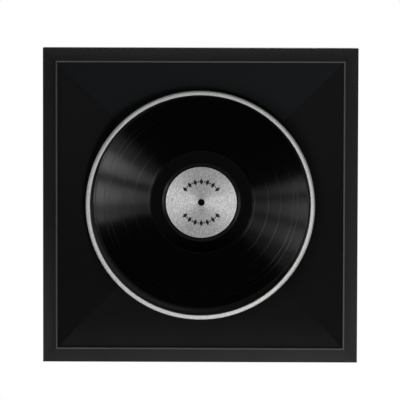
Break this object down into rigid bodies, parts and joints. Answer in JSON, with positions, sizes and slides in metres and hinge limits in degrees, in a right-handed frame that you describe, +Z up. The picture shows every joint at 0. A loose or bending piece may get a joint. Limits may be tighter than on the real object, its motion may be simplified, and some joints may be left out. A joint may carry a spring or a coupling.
{
  "type": "vinyl record frame",
  "caption": "Square black wall frame with a mitred sloping liner and a round silver-rimmed well in which a long-playing record turns on a central peg.",
  "frame": {"origin": "centre of the square frame's outline on the wall plane, which the bumpers' backs touch", "axes": "+Z up, +Y into the wall, so the front faces -Y, +X to the right seen from the front"},
  "size_m": [0.438, 0.04, 0.438],
  "materials": {
    "rail": "satin black paint",
    "liner": "matt black paint",
    "spacer": "stained black",
    "mount_board": "painted black",
    "back_panel": "bare fibreboard",
    "plinth": "matt charcoal paint",
    "hoop": "black",
    "rim": "silver, finely textured",
    "vinyl": "grooved gloss",
    "label": "silver glitter",
    "felt": "felt",
    "peg": "turned black plastic",
    "screw": "zinc plated",
    "button": "brass plated",
    "hanger": "nickel plated",
    "bumper": "soft",
    "nail": "bare"
  },
  "bodies": {
    "frame": {"rail_top": "rail", "liner_top": "liner", "spacer_top": "spacer", "rail_bottom": "rail", "liner_bottom": "liner", "spacer_bottom": "spacer", "rail_left": "rail", "liner_left": "liner", "spacer_left": "spacer", "rail_right": "rail", "liner_right": "liner", "spacer_right": "spacer", "mount_board": "mount_board", "back_panel": "back_panel", "plinth_disc": "plinth", "well_hoop": "hoop", "rim_ring": "rim", "felt_pad": "felt", "spindle_peg": "peg", "peg_cap": "peg", "peg_screw": "screw", "plinth_screws": "screw", "turn_button_screws": "screw", "hanger_screws": "screw", "hanger_plate_left": "hanger", "hanger_plate_right": "hanger", "wall_bumpers": "bumper", "v_nails": "nail"},
    "record": {"record_disc": "vinyl", "label_front": "label", "label_back": "label"},
    "hanger_ring_left": {"hanger_ring_left": "hanger"},
    "hanger_ring_right": {"hanger_ring_right": "hanger"},
    "turn_button_bottom_left": {"turn_button_bottom_left": "button"},
    "turn_button_bottom_right": {"turn_button_bottom_right": "button"},
    "turn_button_left_upper": {"turn_button_left_upper": "button"},
    "turn_button_left_lower": {"turn_button_left_lower": "button"},
    "turn_button_top_right": {"turn_button_top_right": "button"},
    "turn_button_top_left": {"turn_button_top_left": "button"},
    "turn_button_right_lower": {"turn_button_right_lower": "button"},
    "turn_button_right_upper": {"turn_button_right_upper": "button"}
  },
  "joints": [
    {"name": "record_turn", "type": "hinge", "parent": "frame", "child": "record", "pos_m": [0.0013, -0.0254, 0.0036], "axis": [0, 1, 0], "continuous": true},
    {"name": "hanger_ring_left_swing", "type": "hinge", "parent": "frame", "child": "hanger_ring_left", "pos_m": [-0.2125, -0.00224, 0.07884], "axis": [-1, 0, 0], "range_deg": [-5, 180]},
    {"name": "hanger_ring_right_swing", "type": "hinge", "parent": "frame", "child": "hanger_ring_right", "pos_m": [0.2125, -0.00224, 0.07884], "axis": [-1, 0, 0], "range_deg": [-5, 180]},
    {"name": "turn_button_bottom_left_swivel", "type": "hinge", "parent": "frame", "child": "turn_button_bottom_left", "pos_m": [-0.12045, -0.0033, -0.2125], "axis": [0, 1, 0], "continuous": true},
    {"name": "turn_button_bottom_right_swivel", "type": "hinge", "parent": "frame", "child": "turn_button_bottom_right", "pos_m": [0.12045, -0.0033, -0.2125], "axis": [0, 1, 0], "continuous": true},
    {"name": "turn_button_left_upper_swivel", "type": "hinge", "parent": "frame", "child": "turn_button_left_upper", "pos_m": [-0.2125, -0.0033, 0.12045], "axis": [0, 1, 0], "continuous": true},
    {"name": "turn_button_left_lower_swivel", "type": "hinge", "parent": "frame", "child": "turn_button_left_lower", "pos_m": [-0.2125, -0.0033, -0.12045], "axis": [0, 1, 0], "continuous": true},
    {"name": "turn_button_top_right_swivel", "type": "hinge", "parent": "frame", "child": "turn_button_top_right", "pos_m": [0.12045, -0.0033, 0.2125], "axis": [0, 1, 0], "continuous": true},
    {"name": "turn_button_top_left_swivel", "type": "hinge", "parent": "frame", "child": "turn_button_top_left", "pos_m": [-0.12045, -0.0033, 0.2125], "axis": [0, 1, 0], "continuous": true},
    {"name": "turn_button_right_lower_swivel", "type": "hinge", "parent": "frame", "child": "turn_button_right_lower", "pos_m": [0.2125, -0.0033, -0.12045], "axis": [0, 1, 0], "continuous": true},
    {"name": "turn_button_right_upper_swivel", "type": "hinge", "parent": "frame", "child": "turn_button_right_upper", "pos_m": [0.2125, -0.0033, 0.12045], "axis": [0, 1, 0], "continuous": true}
  ]
}
